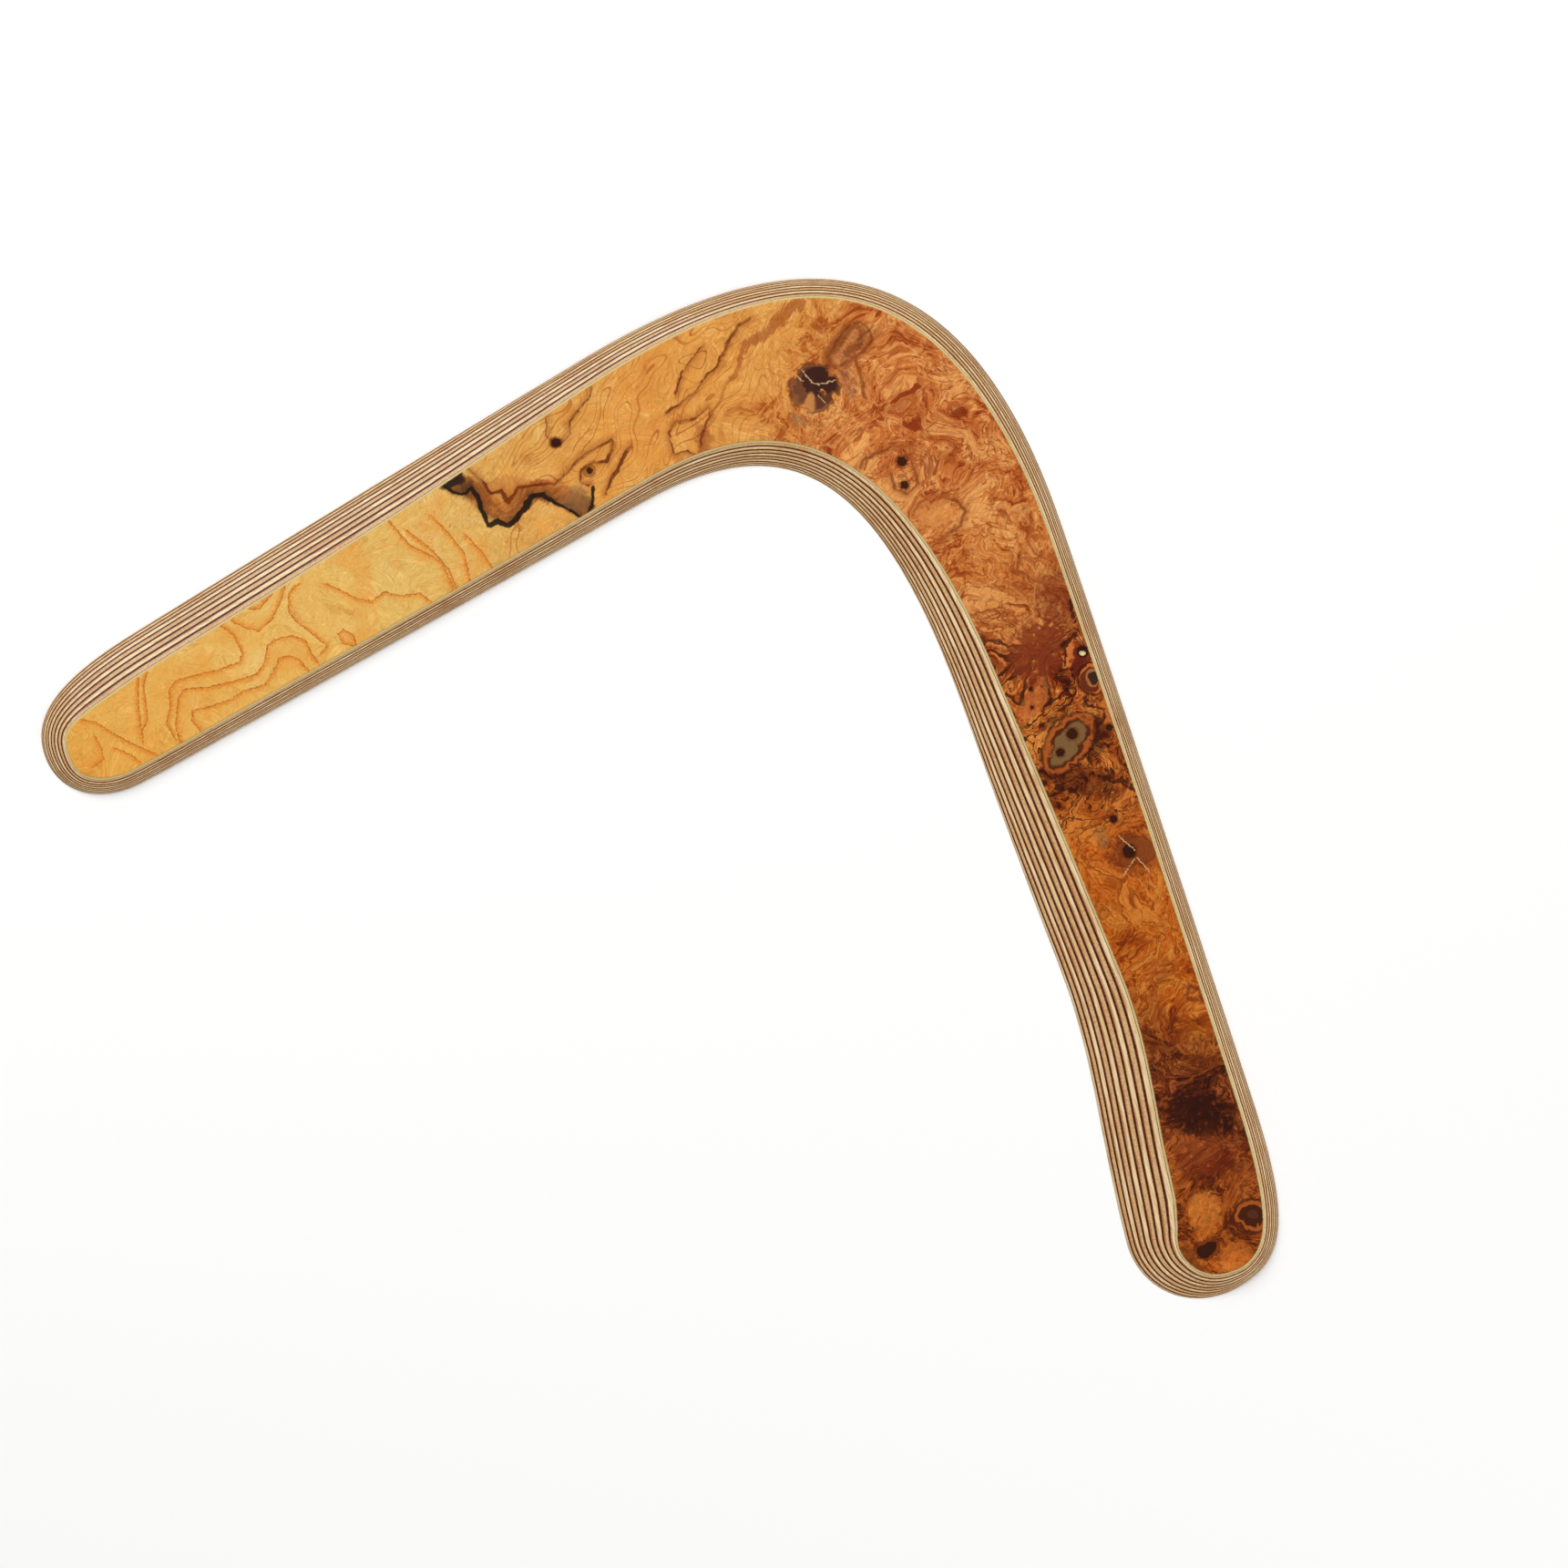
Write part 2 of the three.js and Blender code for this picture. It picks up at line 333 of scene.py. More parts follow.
def drawn_in(ring, reach, level):
    """The ring moved towards its own inside by reach, at another level."""
    count = len(ring)
    area = sum(ring[i - 1].x * ring[i].y - ring[i].x * ring[i - 1].y for i in range(count))
    side = 1 if area > 0 else -1
    moved = []
    for i in range(count):
        run = (ring[(i + 1) % count] - ring[i - 1]).normalized()
        moved.append(Vector((
            ring[i].x - side * run.y * reach, ring[i].y + side * run.x * reach, level,
        )))
    return moved


def layer_mesh(walls):
    """A closed flat layer. Each wall is a stack of rings, lowest first: the rim, then holes."""
    body = bmesh.new()
    ends = ([], [])
    for wall in walls:
        loops = []
        for ring in wall:
            corners = [body.verts.new(point) for point in ring]
            loops.append([body.edges.new((corners[i - 1], c)) for i, c in enumerate(corners)])
        for low, high in zip(loops, loops[1:]):
            bmesh.ops.bridge_loops(body, edges=low + high)
        ends[0].extend(loops[0])
        ends[1].extend(loops[-1])
    for edges in ends:
        bmesh.ops.triangle_fill(body, edges=edges, use_beauty=True)
    for edge in ends[0] + ends[1]:
        edge.smooth = False
    bmesh.ops.recalc_face_normals(body, faces=body.faces)
    return body


def set_in_place(name, body, material, node):
    """Puts the finished layer on the boomerang, in the place of its CAD node."""
    low = min(v.co.z for v in body.verts)
    high = max(v.co.z for v in body.verts)
    rise = body.verts.layers.float.new("rise")
    for vert in body.verts:
        vert[rise] = (vert.co.z - low) / (high - low)
    for face in body.faces:
        face.smooth = True
    mesh = bpy.data.meshes.new(name)
    body.to_mesh(mesh)
    body.free()
    mesh.materials.append(material)
    piece = bpy.data.objects.new(name, mesh)
    bpy.context.scene.collection.objects.link(piece)
    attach(piece, "root")
    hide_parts(node)
    return piece


def birch(name, grain, seed):
    """Peeled birch under lacquer: side grain where the edge runs with it, else end grain."""
    material, bench, shader = lacquered(name)
    place = bench.vector("ADD", bench.millimetres(), (seed, -seed, 0))
    rise = bench.add("ShaderNodeAttribute", attribute_name="rise").outputs["Fac"]
    facing = bench.add("ShaderNodeTexCoord").outputs["Normal"]
    facing = bench.vector("MULTIPLY", facing, (1, 1, 0))
    facing = bench.vector("NORMALIZE", facing)
    fibre = (math.cos(math.radians(grain)), math.sin(math.radians(grain)), 0)
    end = bench.math("ABSOLUTE", bench.vector("DOT_PRODUCT", facing, fibre, output="Value"))
    end = bench.between(end, 0.45, 0.95)

    streaks = bench.noise(bench.turned(place, grain, (0.05, 1.1, 2.5)), 1.2, 3, 0.6)
    cloud = bench.noise(place, 0.06, 3, 0.6)
    side = bench.blend(bench.between(streaks, 0.35, 0.75), CREAM_PALE, CREAM)
    side = bench.blend(bench.between(cloud, 0.5, 0.75, 0, 0.55), side, CREAM_TAN)
    mottle = bench.noise(place, 1.6, 3, 0.65)
    ends = bench.blend(bench.between(mottle, 0.3, 0.6), END_BROWN, END_TAN)
    ends = bench.blend(bench.between(mottle, 0.52, 0.72), ends, CREAM)
    colour = bench.blend(bench.math("MULTIPLY", end, END_GRAIN_SHARE), side, ends)

    # The film bleeds into the wood from both faces, in feathered flecks of uneven reach. The
    # stain goes by height alone, so it also covers the whole flat sole of the lowest ply.
    fleck = bench.noise(place, 1.9, 3, 0.7)
    reach = bench.noise(place, 0.05, 2)
    wide = bench.math("MULTIPLY", bench.between(reach, 0.4, 0.62, 0.08, 0.55), fleck)
    soft = bench.between(bench.math("SUBTRACT", rise, wide), 0.0, 0.25, 0.7, 0)
    colour = bench.blend(soft, colour, BLEED_TAN)
    low_bleed = bench.between(
        bench.math("SUBTRACT", rise, bench.math("MULTIPLY", fleck, 0.18)), 0.0, 0.08, 1, 0,
    )
    high_bleed = bench.between(
        bench.math("ADD", rise, bench.math("MULTIPLY", fleck, 0.14)), 0.93, 1.0, 0, 1,
    )
    bleed = bench.math("MAXIMUM", low_bleed, high_bleed)
    colour = bench.blend(bench.math("MULTIPLY", bleed, 0.9), colour, GLUE_STAIN)

    checks = bench.noise(bench.turned(place, grain, (0.12, 1, 1)), 2.6, 2, 0.5)
    colour = bench.blend(bench.between(checks, 0.7, 0.78, 0, 0.7), colour, KNIFE_CHECK)
    stain = bench.noise(place, 0.018, 2)
    colour = bench.blend(bench.between(stain, 0.68, 0.76, 0, 0.35), colour, RESIN_STAIN)
    # The top ply, bared at the lost pin knot, is painted paler than its birch. This is painted
    # light, so the floor of the hole reads bright in its own shade.
    bared = bench.vector("DISTANCE", bench.millimetres(), (*PIN_HOLE, SPOT_LEVEL), output="Value")
    colour = bench.blend(bench.between(bared, SPOT_CLEAR, SPOT_REACH, 1, 0), colour, SPOT_PALE_PAINTED_LIGHT)

    bench.feed(shader.inputs["Base Color"], colour)
    bench.feed(shader.inputs["Roughness"], bench.between(mottle, 0.2, 0.8, 0.38, 0.56))
    bench.feed(shader.inputs["Normal"], bench.bump(streaks, 0.25, 0.0001))
    return material


long_birch = birch("birch_with_the_grain", LONG_GRAIN, 0)
cross_birch = birch("birch_across_the_grain", LONG_GRAIN + 90, 37)

for number in range(1, PLY_COUNT + 1):
    node = f"birch_ply_{number}"
    low_ring, high_ring = (faired(ring) for ring in outlines(node))
    rings = [low_ring, high_ring]
    if number == 1:
        sole = drawn_in(low_ring, SOLE_EASE, low_ring[0].z)
        for point in low_ring:
            point.z += SOLE_EASE
        rings.insert(0, sole)
    odd = number % 2 == 1
    set_in_place(
        f"sanded_ply_{number}", layer_mesh([rings]), long_birch if odd else cross_birch,
        node,
    )

# ---------------------------------------------------------------------------------------------
# The phenolic glue films between the plies. Each is 0.12 mm of cured resin that shows on the
# sanded edge as a dark brown line.
FILM_DARK = tone(44, 14, 4)
FILM_BROWN = tone(82, 32, 8)
FILM_WORN = tone(112, 58, 26)
FILM_COAT = 0.04
FILM_GLOSS = 0.02

phenolic, bench, shader = lacquered("phenolic_film")
shader.inputs["Coat Weight"].default_value = FILM_COAT
shader.inputs["Specular IOR Level"].default_value = FILM_GLOSS
place = bench.millimetres()
patchy = bench.noise(place, 0.9, 3, 0.65)
film = bench.blend(bench.between(patchy, 0.38, 0.56), FILM_DARK, FILM_BROWN)
film = bench.blend(bench.between(patchy, 0.58, 0.72), film, FILM_WORN)
bench.feed(shader.inputs["Base Color"], film)
bench.feed(shader.inputs["Roughness"], bench.between(patchy, 0.3, 0.7, 0.3, 0.5))
bench.feed(shader.inputs["Normal"], bench.bump(patchy, 0.2, 0.00005))

for number in range(1, PLY_COUNT):
    node = f"glue_film_{number}"
    rings = [faired(ring) for ring in outlines(node)]
    set_in_place(f"glue_line_{number}", layer_mesh([rings]), phenolic, node)

# ---------------------------------------------------------------------------------------------
# The glue under the burl. It is a clear amber resin, open at the lost pin knot like the
# veneer above it, and it shows as a thin greenish yellow seam.
SEAM_YELLOW = tone(216, 196, 140)
SEAM_OLIVE = tone(190, 166, 106)

amber, bench, shader = lacquered("amber_resin")
place = bench.millimetres()
cloud = bench.noise(place, 0.35, 3, 0.6)
bench.feed(
    shader.inputs["Base Color"],
    bench.blend(bench.between(cloud, 0.35, 0.65), SEAM_YELLOW, SEAM_OLIVE),
)
bench.feed(shader.inputs["Roughness"], bench.between(cloud, 0.3, 0.7, 0.3, 0.45))

low_rim, low_hole, high_rim, high_hole = (faired(ring) for ring in outlines("veneer_glue"))
set_in_place(
    "veneer_bond", layer_mesh([[low_rim, high_rim], [low_hole, high_hole]]),
    amber, "veneer_glue",
)

# ---------------------------------------------------------------------------------------------
# The burl face. It is one sheet of 0.6 mm burl, honey yellow out on the free wing, red brown
# and full of swirls at the elbow and dark orange on the grip wing, with knots and ink lines.
# All its places are millimetres on the face, from the middle of the outline's box.
FACE_EASE = 0.0001
BEND_CENTRE = (-25, -29, 0)         # the burl changes colour round this point
ZONES = (
    # degrees round the bend, then the light, middle and dark wood there
    (168, (232, 182, 92), (225, 166, 78), (206, 132, 50)),
    (144, (230, 192, 118), (226, 178, 94), (207, 142, 62)),
    (126, (230, 197, 124), (224, 182, 100), (199, 145, 72)),
    (108, (230, 198, 134), (220, 172, 92), (176, 122, 60)),
    (86, (232, 180, 98), (220, 150, 72), (192, 112, 46)),
    (72, (233, 178, 98), (220, 154, 76), (172, 86, 34)),
    (61, (230, 163, 92), (202, 117, 58), (142, 58, 28)),
    (50, (228, 156, 88), (188, 102, 50), (132, 50, 26)),
    (38, (228, 162, 92), (204, 122, 58), (146, 62, 28)),
    (28, (214, 132, 66), (146, 64, 32), (92, 34, 20)),
    (17, (222, 142, 66), (176, 86, 36), (76, 28, 18)),
    (8, (205, 118, 52), (150, 70, 28), (72, 28, 18)),
    (2, (208, 122, 50), (190, 96, 34), (132, 56, 20)),
    (-12, (206, 126, 52), (178, 84, 26), (112, 44, 16)),
    (-20, (150, 78, 40), (88, 38, 24), (46, 26, 20)),
    (-25, (176, 92, 42), (120, 52, 26), (62, 28, 20)),
    (-31, (206, 120, 48), (176, 86, 32), (88, 38, 20)),
)
KNOTS = (
    # place, how far its rings reach, how high the growth rises to it, across over along, turn
    ((58, 151), 15, 0.5, 1, 0),
    ((91, 118), 10, 0.35, 0.7, 85),
    ((104, 102), 9, 0.3, 0.65, 30),
    ((146, 91), 26, 0.62, 1, 0),
    ((154, 17), 12, 0.6, 0.6, 60),
    ((163, 41.5), 7, 0.4, 1, 0),
    ((169, 22), 6, 0.3, 1, 0),
    ((179, -24), 13, 0.35, 1, 0),
    ((222, -160), 9, 0.5, 0.8, 90),
    ((205.5, -173), 9, 0.4, 0.6, 20),
    ((-27, 119.5), 6, 0.3, 1, 0),
)
EYES = (
    # place, radius of the dark heart, radius of the paler ring round it
    ((91, 123), 1.9, 2.8),
    ((92, 114), 1.6, 2.4),
    ((-26.5, 119.5), 1.3, 2.6),
    ((-39, 130), 1.8, 2.3),
    ((155, 20.5), 2.1, 2.9),
    ((150.5, 13.5), 1.6, 2.3),
    ((169, 23), 1.4, 2.2),
    ((153, 37), 1.0, 1.5),
    ((139.5, 37.5), 0.8, 1.4),
    ((140, 30.5), 0.7, 1.2),
    ((176.5, -23.5), 2.6, 3.4),
    ((170.5, -11.5), 1.6, 2.2),
)
PATCHES = (
    # place, half sizes, turn, colour, strength: stains and pockets in the burl
    ((-60, 112), (13, 5), 15, (188, 112, 52), 0.55),
    ((-35, 123), (6, 3.5), 35, (206, 140, 66), 0.5),
    ((52, 138.5), (3.4, 2.6), 0, (120, 84, 56), 0.55),
    ((16.5, 132), (3.4, 6), 15, (150, 76, 38), 0.6),
    ((70, 165), (6.5, 10), -20, (150, 84, 56), 0.5),
    ((71, 153), (3, 9), 12, (150, 96, 66), 0.45),
    ((103.5, 103), (8.6, 5.6), 30, (218, 146, 78), 0.55),
    ((142, 52), (13, 11), 60, (122, 52, 30), 0.85),
    ((150, 70), (9, 13), 20, (116, 46, 28), 0.55),
    ((158.5, 48.5), (4.4, 6.2), 0, (100, 36, 28), 0.88),
    ((153.6, 50), (2, 7), -8, (212, 124, 62), 0.75),
    ((141, 33), (4, 9), -30, (196, 110, 58), 0.5),
    ((165, 21), (3, 12), -10, (62, 26, 20), 0.72),
    ((158, 3), (16, 6), -15, (74, 30, 20), 0.6),
    ((167.5, 29), (2.4, 8), -12, (210, 118, 54), 0.6),
    ((178, -24), (10.5, 8), 10, (124, 62, 32), 0.6),
    ((166, -18), (2.4, 4.6), 20, (128, 108, 66), 0.4),
    ((201, -56), (3.2, 9), 12, (204, 152, 84), 0.75),
    ((202, -122), (14, 9), -10, (50, 26, 20), 0.9),
    ((204, -139), (12, 8), 0, (104, 40, 24), 0.6),
    ((205, -159), (6.5, 7.5), 20, (206, 122, 52), 0.48),
    ((216, -176), (7, 5), 20, (204, 112, 46), 0.5),
    ((198, -178), (6, 8), 20, (90, 40, 22), 0.6),
)
RINGS = (
    # place, half sizes, turn, colour, strength, softness of the edge: nested, the widest first
    ((-77.5, 115.3), (5.4, 2.7), 18, (42, 34, 32), 0.96, 0.3),
    ((-73, 113.5), (3.6, 3), 18, (66, 44, 34), 0.7, 0.7),
    ((-31.5, 108.5), (5.6, 5.2), 15, (128, 94, 60), 0.62, 0.5),
    ((-38.8, 130.2), (3, 2.2), 0, (84, 44, 30), 0.7, 0.5),
    ((58, 150.5), (10, 9.8), 0, (96, 52, 32), 0.8, 0.12),
    ((58, 150.5), (9, 8.8), 0, (142, 92, 58), 0.75, 0.12),
    ((58.4, 150.8), (8.5, 8.2), 0, (84, 48, 36), 0.85, 0.12),
    ((54.5, 149.5), (4.2, 6.2), 0, (122, 74, 48), 0.6, 0.5),
    ((59.8, 152.6), (6.6, 6), -20, (56, 34, 32), 0.88, 0.12),
    ((56.6, 145.2), (2, 3.6), -8, (208, 140, 78), 0.75, 0.6),
    ((153.5, 17), (15.2, 9.2), 54, (50, 24, 20), 0.72, 0.16),
    ((153.5, 17), (13.4, 7.7), 54, (182, 92, 42), 0.75, 0.14),
    ((153.5, 17), (11.6, 6), 54, (46, 24, 20), 0.85, 0.14),
    ((153.5, 17), (10, 4.5), 54, (132, 102, 64), 0.74, 0.2),
    ((163, 41.3), (6.4, 7), 0, (62, 26, 20), 0.85, 0.12),
    ((163, 41.3), (5.2, 5.9), 0, (202, 110, 52), 0.85, 0.12),
    ((162.2, 40.6), (4.2, 4.9), 0, (80, 30, 24), 0.88, 0.12),
    ((163, 41.4), (3.1, 3.5), 0, (168, 104, 62), 0.85, 0.12),
    ((163, 41.4), (2.2, 2.6), 0, (46, 34, 30), 0.94, 0.12),
    ((165, 22), (2.8, 5), -15, (64, 28, 20), 0.75, 0.12),
    ((178.5, -23.5), (9.2, 6), 10, (96, 42, 26), 0.6, 0.2),
    ((178.5, -23.5), (8, 5), 10, (140, 72, 36), 0.55, 0.2),
    ((222.5, -160.5), (7.6, 7), 0, (74, 34, 20), 0.8, 0.12),
    ((222.5, -160.5), (6.4, 5.9), 0, (172, 90, 40), 0.8, 0.12),
    ((222.5, -160.5), (5, 4.5), 0, (52, 28, 22), 0.92, 0.12),
    ((222.8, -160), (2, 1.6), 0, (92, 52, 42), 0.7, 0.12),
    ((205.5, -173), (5.6, 4), 30, (96, 44, 24), 0.8, 0.12),
    ((205.5, -173), (4, 2.6), 30, (44, 26, 22), 0.9, 0.12),
)
HONEY_LINES = (
    # Growth lines of the free wing. Each is crisp on its left and fades to its right.
    ((-182, 18.5), (-185.5, 24.5), (-184, 31), (-184.5, 37), (-182, 40.5), (-173.5, 43),
     (-166, 44.5), (-158, 47.5), (-157, 51), (-160.5, 58), (-165, 61)),
    ((-180.5, 17.5), (-182, 23.5), (-181, 34), (-178.5, 37.5), (-170, 38), (-161, 40),
     (-151.5, 43), (-148.5, 47.5), (-147.5, 53.5), (-145, 56), (-138, 57.5), (-133, 55.5),
     (-131, 51), (-128.5, 47.5)),
    ((-172.5, 21.5), (-176, 25.5), (-175.5, 29.5), (-170, 30.5), (-161, 33.5), (-157, 36.5),
     (-148.5, 39), (-145.5, 43.5), (-143, 49), (-139, 50), (-135.5, 48.5), (-132, 44.5)),
    ((-196, 41.5), (-196, 32), (-195, 23.5), (-194, 17.5)),
    ((-192.5, 44), (-194, 39), (-193, 31), (-192.5, 26), (-195, 20.5)),
    ((-145.5, 73.5), (-150.5, 67.5), (-156, 67.5)),
    ((-141, 76), (-142, 71.5), (-145.5, 64), (-150.5, 59), (-156, 60.5), (-161, 63)),
    ((-127.5, 51), (-125, 53.5), (-130.5, 58), (-137, 63), (-139.5, 66.5), (-139.5, 73.5),
     (-136, 77)),
    ((-125.5, 77), (-120, 74.5), (-114, 71.5), (-108, 70.5), (-103.5, 74), (-97.5, 72.5),
     (-90, 73.5), (-85.5, 70)),
    ((-114, 53.5), (-119, 54.5), (-121, 58), (-119, 60), (-115, 57.5), (-114, 53.5)),
    ((-217.5, 26), (-212, 25), (-203.5, 19.5), (-195.5, 15.5), (-189, 13)),
    ((-205, 15.5), (-199.5, 13), (-195, 10)),
    ((-212, 19.5), (-210, 15.5), (-209, 11), (-213, 8)),
    ((-102.5, 101.5), (-94, 91.5), (-82, 85.5), (-77.5, 75.5)),
    ((-86, 103), (-79, 95.5), (-73.5, 88.5), (-71, 77)),
    ((-73, 95.5), (-66.5, 88.5), (-62.5, 82.5)),
    ((-95, 97), (-86, 90), (-79, 82), (-76, 74)),
)
INK_LINES = (
    # The near black lines that fungus drew in the wood before it was cut.
    ((-77, 118.5), (-82, 115), (-80.5, 113), (-74.5, 110.5), (-73, 111), (-71, 113),
     (-69, 110), (-66, 102.5), (-64.5, 99), (-61, 100.5), (-57, 98.5), (-53.5, 102),
     (-50.5, 105.5), (-48, 110), (-44, 110.5), (-39.5, 107.5), (-35, 105.5), (-29, 101.5)),
    ((-25, 113), (-25.5, 106.5), (-27.5, 102.5)),
)
BROWN_LINES = (
    ((-72.5, 120), (-66, 114.5), (-63.5, 111), (-59.5, 112), (-57, 107.5), (-53.5, 113),
     (-45, 114), (-39.5, 114.5), (-36, 117.5), (-34, 119.5)),
    ((-34, 120), (-28.5, 125), (-22.5, 128.5), (-18, 131), (-18.5, 126.5), (-20, 123),
     (-26.5, 122.5), (-29.5, 120), (-30, 115), (-26.5, 114)),
    ((-20, 111), (-19, 114.5), (-16, 119.5), (-13.5, 125), (-11, 128.5)),
    ((4, 130.5), (3.5, 133.5), (6, 137.5), (13.5, 139), (18, 143), (19, 140), (16.5, 135),
     (15.5, 130.5), (14.5, 125), (10, 127), (5.5, 125.5), (4, 130.5)),
    ((34, 177), (29, 173.5), (25.5, 168), (22, 159.5), (16.5, 154), (13.5, 149.5),
     (8, 145), (2.5, 141.5)),
    ((15.5, 166), (12, 161.5), (8, 156), (6, 148)),
    ((75.5, 120.5), (76.5, 123), (81, 126), (85.5, 127), (89.5, 128.5), (94, 128.5),
     (94, 125), (95, 121), (96, 118.5), (97, 114.5), (93, 111), (88.5, 113), (87, 118.5)),
    ((-43, 140.5), (-42.5, 136), (-43, 132.5), (-41, 128.5), (-38.5, 128.5), (-36, 130.5),
     (-33.5, 133.5), (-34, 138), (-29.5, 143.5), (-26.5, 146.5), (-25.5, 151)),
    ((66, 158), (63, 162.5), (67.5, 169.5), (71, 174), (75.5, 175.5), (79, 172), (79.5, 168),
     (75.5, 163.5), (71, 161), (68, 159)),
    ((49, 141), (46, 135.5), (43, 130.5)),
    ((73.5, 161), (75.5, 154.5), (77, 147)),
    ((95, 103), (97.5, 107), (103.5, 109.5), (111, 108.5), (115, 104), (112.5, 98.5),
     (106.5, 95), (102.5, 91)),
    ((135, 88), (134.5, 82), (141, 77.5), (149, 76)),
    ((139.5, 100), (137.5, 94), (141, 88), (147.5, 85)),
    ((187.5, -69.5), (186.5, -69), (187, -66.5), (193, -66), (193, -68.5), (187.5, -69.5)),
    ((184, -72.5), (185.5, -75.5), (184.5, -79.5), (187.5, -80.5), (187.5, -83),
     (187, -87)),
    ((198.5, -75), (199.5, -74), (203, -75.5), (204, -79.5), (198.5, -79), (198.5, -75)),
)
DARK_LINES = (
    # The dark contours that join the small eyes on the grip wing.
    ((154.5, 69.5), (156.5, 60.5), (152.5, 53), (152, 46.5), (149.5, 42.5), (152.5, 40),
     (153, 37.5), (155, 33), (153, 30), (148, 28.5), (143.5, 23.5), (139, 22.5)),
    ((160.5, 34), (161.5, 31), (166, 30), (166.5, 26), (164, 22)),
    ((161.5, 17), (160.5, 13.5), (164, 8), (169, 5.5), (177, 2)),
    ((142.5, 5.5), (147.5, 6), (151.5, 4.5), (149.5, -2), (150.5, -11)),
    ((144.5, -2), (152.5, -2.5), (156.5, 0.5), (163, 4.5), (173, 3), (178, 0.5)),
)
RUST_WAY = (
    (-77, 115), (-70, 112), (-63, 105), (-57.5, 103), (-52.5, 108), (-46, 112.5), (-36, 110),
    (-29, 105.5),
)
BROWN_STREAK = (
    (52, 182.5), (48.5, 179), (43, 174), (37.5, 169.5), (32, 167), (30, 162), (30, 158.5),
    (24.5, 151), (23, 146.5), (19, 140),
)
KNOT_ARM = (
    (62.5, 159.5), (63, 163.5), (67.5, 168), (70, 173), (74, 174), (76.5, 171.5),
    (75.5, 167.5), (71, 164),
)
CRACKS = (
    ((53.5, 157.5), (55.5, 154.5), (58, 152), (60.5, 152), (66, 153.5)),
    ((51, 155.5), (54, 153)),
    ((59.5, 148), (62.5, 144.5)),
    ((172.5, -18), (178.5, -23)),
    ((179.5, -26), (184, -31)),
    ((178.5, -26.5), (174.5, -32.5)),
)
LACQUER_HAZE = (0.006, 0.008, 0.009)    # about what the gloss adds to a tone, taken off first
FIGURE_MIDDLE = 0.488                   # the level of the figure that is middle wood
CALM_CONTRAST, WILD_CONTRAST = 2.7, 8.5
PATCH_EDGE = 0.5
HEART_EDGE, EYE_EDGE = 0.25, 0.2
PIN_SHADE_REACH = (2.3, 2.3)
INK = tone(40, 30, 27)
RUST_LIGHT = tone(190, 112, 50)
RUST = tone(150, 78, 34)
RUST_DARK = tone(84, 42, 24)
HEART = tone(48, 26, 20)
HONEY_EDGE = tone(164, 90, 32)
HONEY_GLOW = tone(222, 146, 60)
HONEY_TICK = tone(214, 128, 48)
HONEY_CLOUD = tone(222, 150, 66)
LINE_BROWN = tone(104, 46, 22)
CONTOUR = tone(56, 26, 20)
STREAK_BROWN = tone(160, 80, 36)
CRACK_CREAM = tone(206, 170, 120)
FIBRE_DARK = tone(160, 92, 40)
BAND_CREAM = tone(214, 196, 150)
BAND_OLIVE = tone(200, 172, 108)

# One straight run of a line: how far the nearest run is, and on which side of it a place lies.
bench, given = new_group(
    "line_run",
    {"Place": "Vector", "Start": "Vector", "End": "Vector", "Nearest": "Float", "Side": "Float"},
    {"Nearest": "Float", "Side": "Float"},
)
run = bench.vector("SUBTRACT", given["End"], given["Start"])
off = bench.vector("SUBTRACT", given["Place"], given["Start"])
share = bench.clamped(bench.math(
    "DIVIDE", bench.vector("DOT_PRODUCT", off, run, output="Value"),
    bench.vector("DOT_PRODUCT", run, run, output="Value"),
))
gap = bench.vector("SUBTRACT", off, bench.scaled(run, share))
gap = bench.vector("LENGTH", gap, output="Value")
turn = bench.vector("CROSS_PRODUCT", run, off)
turn = bench.vector("DOT_PRODUCT", turn, (0, 0, 1), output="Value")
closer = bench.math("LESS_THAN", gap, given["Nearest"])
newer = bench.math("MULTIPLY", bench.math("SIGN", turn), closer)
older = bench.math("MULTIPLY", given["Side"], bench.math("SUBTRACT", 1, closer))
side = bench.math("ADD", newer, older)
line_run = finish_group(
    bench, {"Nearest": bench.math("MINIMUM", gap, given["Nearest"]), "Side": side},
)

# A soft-edged oval: 1 inside, 0 outside. A place that was pushed about makes it ragged.
bench, given = new_group(
    "ragged_oval",
    {"Place": "Vector", "Centre": "Vector", "Turn": "Vector", "Size": "Vector", "Edge": "Float"},
    {"Inside": "Float"},
)
off = bench.vector("SUBTRACT", given["Place"], given["Centre"])
turned = bench.add(
    "ShaderNodeVectorRotate", {"Vector": off, "Rotation": given["Turn"]},
    rotation_type="EULER_XYZ",
)
far = bench.vector("DIVIDE", turned.outputs[0], given["Size"])
far = bench.vector("LENGTH", far, output="Value")
edge = bench.math("SUBTRACT", far, 1)
inside = bench.between(bench.math("DIVIDE", edge, given["Edge"]), 0.5, -0.5)
ragged_oval = finish_group(bench, {"Inside": inside})

burl, bench, shader = lacquered("burl_veneer_wood")
place = bench.vector("MULTIPLY", bench.millimetres(), (1, 1, 0))
shaky = bench.drift(place, 0.9, 1.5, 3)
loose = bench.drift(place, 0.16, 9, 3)
ragged_place = bench.drift(place, 0.3, 5, 3)
winding = bench.drift(place, 0.3, 2.2, 3)


def nearest_line(ways, where):
    """How far a place is from the nearest of these lines, and on which side of it."""
    nearest, side = 100.0, 0.0
    for way in ways:
        for start, end in zip(way, way[1:]):
            run = bench.add("ShaderNodeGroup", node_tree=line_run)
            for socket, value in (
                ("Place", where), ("Start", (*start, 0)), ("End", (*end, 0)),
                ("Nearest", nearest), ("Side", side),
            ):
                bench.feed(run.inputs[socket], value)
            nearest, side = run.outputs["Nearest"], run.outputs["Side"]
    return nearest, side


def oval(where, centre, size, turn, edge):
    return bench.group(ragged_oval, {
        "Place": where, "Centre": (*centre, 0), "Turn": (0, 0, -math.radians(turn)),
        "Size": (*size, 1), "Edge": edge,
    })


